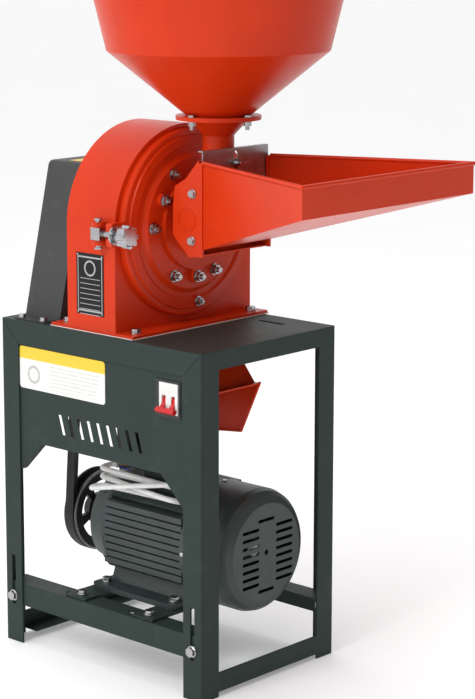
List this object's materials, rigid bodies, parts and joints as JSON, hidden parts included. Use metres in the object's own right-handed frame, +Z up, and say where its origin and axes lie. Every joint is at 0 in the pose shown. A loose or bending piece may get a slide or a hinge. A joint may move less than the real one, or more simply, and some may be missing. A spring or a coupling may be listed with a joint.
{
  "type": "hammer mill",
  "caption": "Belt-driven claw-disc grain mill on an angle-iron stand, with hopper, feed tray and gate, hinged door, motor below, belt guard, switch panel and discharge chute.",
  "frame": {"origin": "centre of the bounding box at floor level", "axes": "+Z up, -Y toward the feed tray and door side, -X toward the switch panel"},
  "size_m": [0.3979, 0.623, 1.055],
  "materials": {
    "frame_paint": "satin dark green-grey enamel",
    "motor_paint": "satin dark green-grey enamel on castings",
    "mill_paint": "gloss orange-red enamel",
    "guard_paint": "satin grey enamel",
    "housing_iron": "as cast, oiled",
    "zinc": "zinc plated",
    "galvanised": "galvanised sheet",
    "knob_alloy": "cast alloy",
    "ground_steel": "ground",
    "core_steel": "stacked laminations",
    "pulley_black": "black enamel, bright machined rim",
    "belt_rubber": "matt black rubber",
    "fan_plastic": "black plastic",
    "switch_black": "black plastic",
    "switch_white": "white plastic",
    "switch_red": "red plastic",
    "label_face": "plain printed film without text",
    "plate_black": "black plate without text",
    "lead_white": "white sheath"
  },
  "bodies": {
    "stand": {"ball_bearings": "ground_steel", "bearing_housing": "housing_iron", "belt_guard": "guard_paint", "breaker": "switch_white", "breaker_bezel": "switch_black", "discharge_chute": "mill_paint", "drive_belt": "belt_rubber", "drive_end_shield": "motor_paint", "fan_cover": "motor_paint", "fan_end_shield": "motor_paint", "floor_rails": "frame_paint", "hinge_pin": "zinc", "latch_pin": "zinc", "leg_front_left": "frame_paint", "leg_front_right": "frame_paint", "leg_rear_left": "frame_paint", "leg_rear_right": "frame_paint", "mill_case": "mill_paint", "motor_housing": "motor_paint", "motor_rail_left": "frame_paint", "motor_rail_right": "frame_paint", "motor_stator_core": "core_steel", "motor_straps": "frame_paint", "mount_bolts": "zinc", "nameplate": "plate_black", "panel_label": "label_face", "shield_screws": "zinc", "sieve_ring": "ground_steel", "supply_lead": "lead_white", "switch_panel": "frame_paint", "table_bolts": "zinc", "table_plate": "frame_paint", "terminal_box": "motor_paint", "top_rail_left": "frame_paint", "top_rail_right": "frame_paint", "top_rails_cross": "frame_paint"},
    "motor_rotor": {"motor_shaft": "ground_steel", "motor_rotor_core": "core_steel", "motor_fan": "fan_plastic", "motor_pulley": "pulley_black"},
    "mill_rotor": {"main_shaft": "ground_steel", "rotor_disc": "housing_iron", "rotor_hammers": "ground_steel", "rotor_nut": "zinc", "mill_pulley": "pulley_black"},
    "door": {"door": "mill_paint", "fixed_toothed_disc": "housing_iron", "door_nuts": "zinc", "feed_seat": "mill_paint", "feed_tray": "mill_paint", "throat": "mill_paint", "hopper": "mill_paint", "feed_fasteners": "zinc", "latch_bolt": "zinc", "latch_washer": "zinc"},
    "gate": {"feed_gate": "galvanised"},
    "wing_nut": {"gate_wing_nut": "zinc"},
    "knob": {"latch_knob": "knob_alloy"},
    "toggle": {"breaker_toggle": "switch_red"}
  },
  "joints": [
    {"name": "motor_spin", "type": "hinge", "parent": "stand", "child": "motor_rotor", "pos_m": [0, 0.1055, 0.186], "axis": [0, 1, 0], "continuous": true},
    {"name": "rotor_spin", "type": "hinge", "parent": "stand", "child": "mill_rotor", "pos_m": [0, 0.1055, 0.658], "axis": [0, 1, 0], "continuous": true},
    {"name": "door_hinge", "type": "hinge", "parent": "stand", "child": "door", "pos_m": [0.157, 0.0695, 0.658], "axis": [0, 0, 1], "range_deg": [0, 100]},
    {"name": "gate_slide", "type": "slide", "parent": "door", "child": "gate", "axis": [0, 0, 1], "range_m": [-0.014, 0.007]},
    {"name": "wing_nut_spin", "type": "hinge", "parent": "door", "child": "wing_nut", "pos_m": [0, -0.0295, 0.752], "axis": [0, 1, 0], "continuous": true},
    {"name": "knob_spin", "type": "hinge", "parent": "door", "child": "knob", "pos_m": [-0.156, 0.0435, 0.655], "axis": [0, 1, 0], "continuous": true},
    {"name": "breaker_switch", "type": "hinge", "parent": "stand", "child": "toggle", "pos_m": [-0.1465, -0.0373, 0.43], "axis": [0, 1, 0], "range_deg": [0, 76]}
  ],
  "couplings": [
    {"joint": "rotor_spin", "follows": "motor_spin", "ratio": 2}
  ]
}
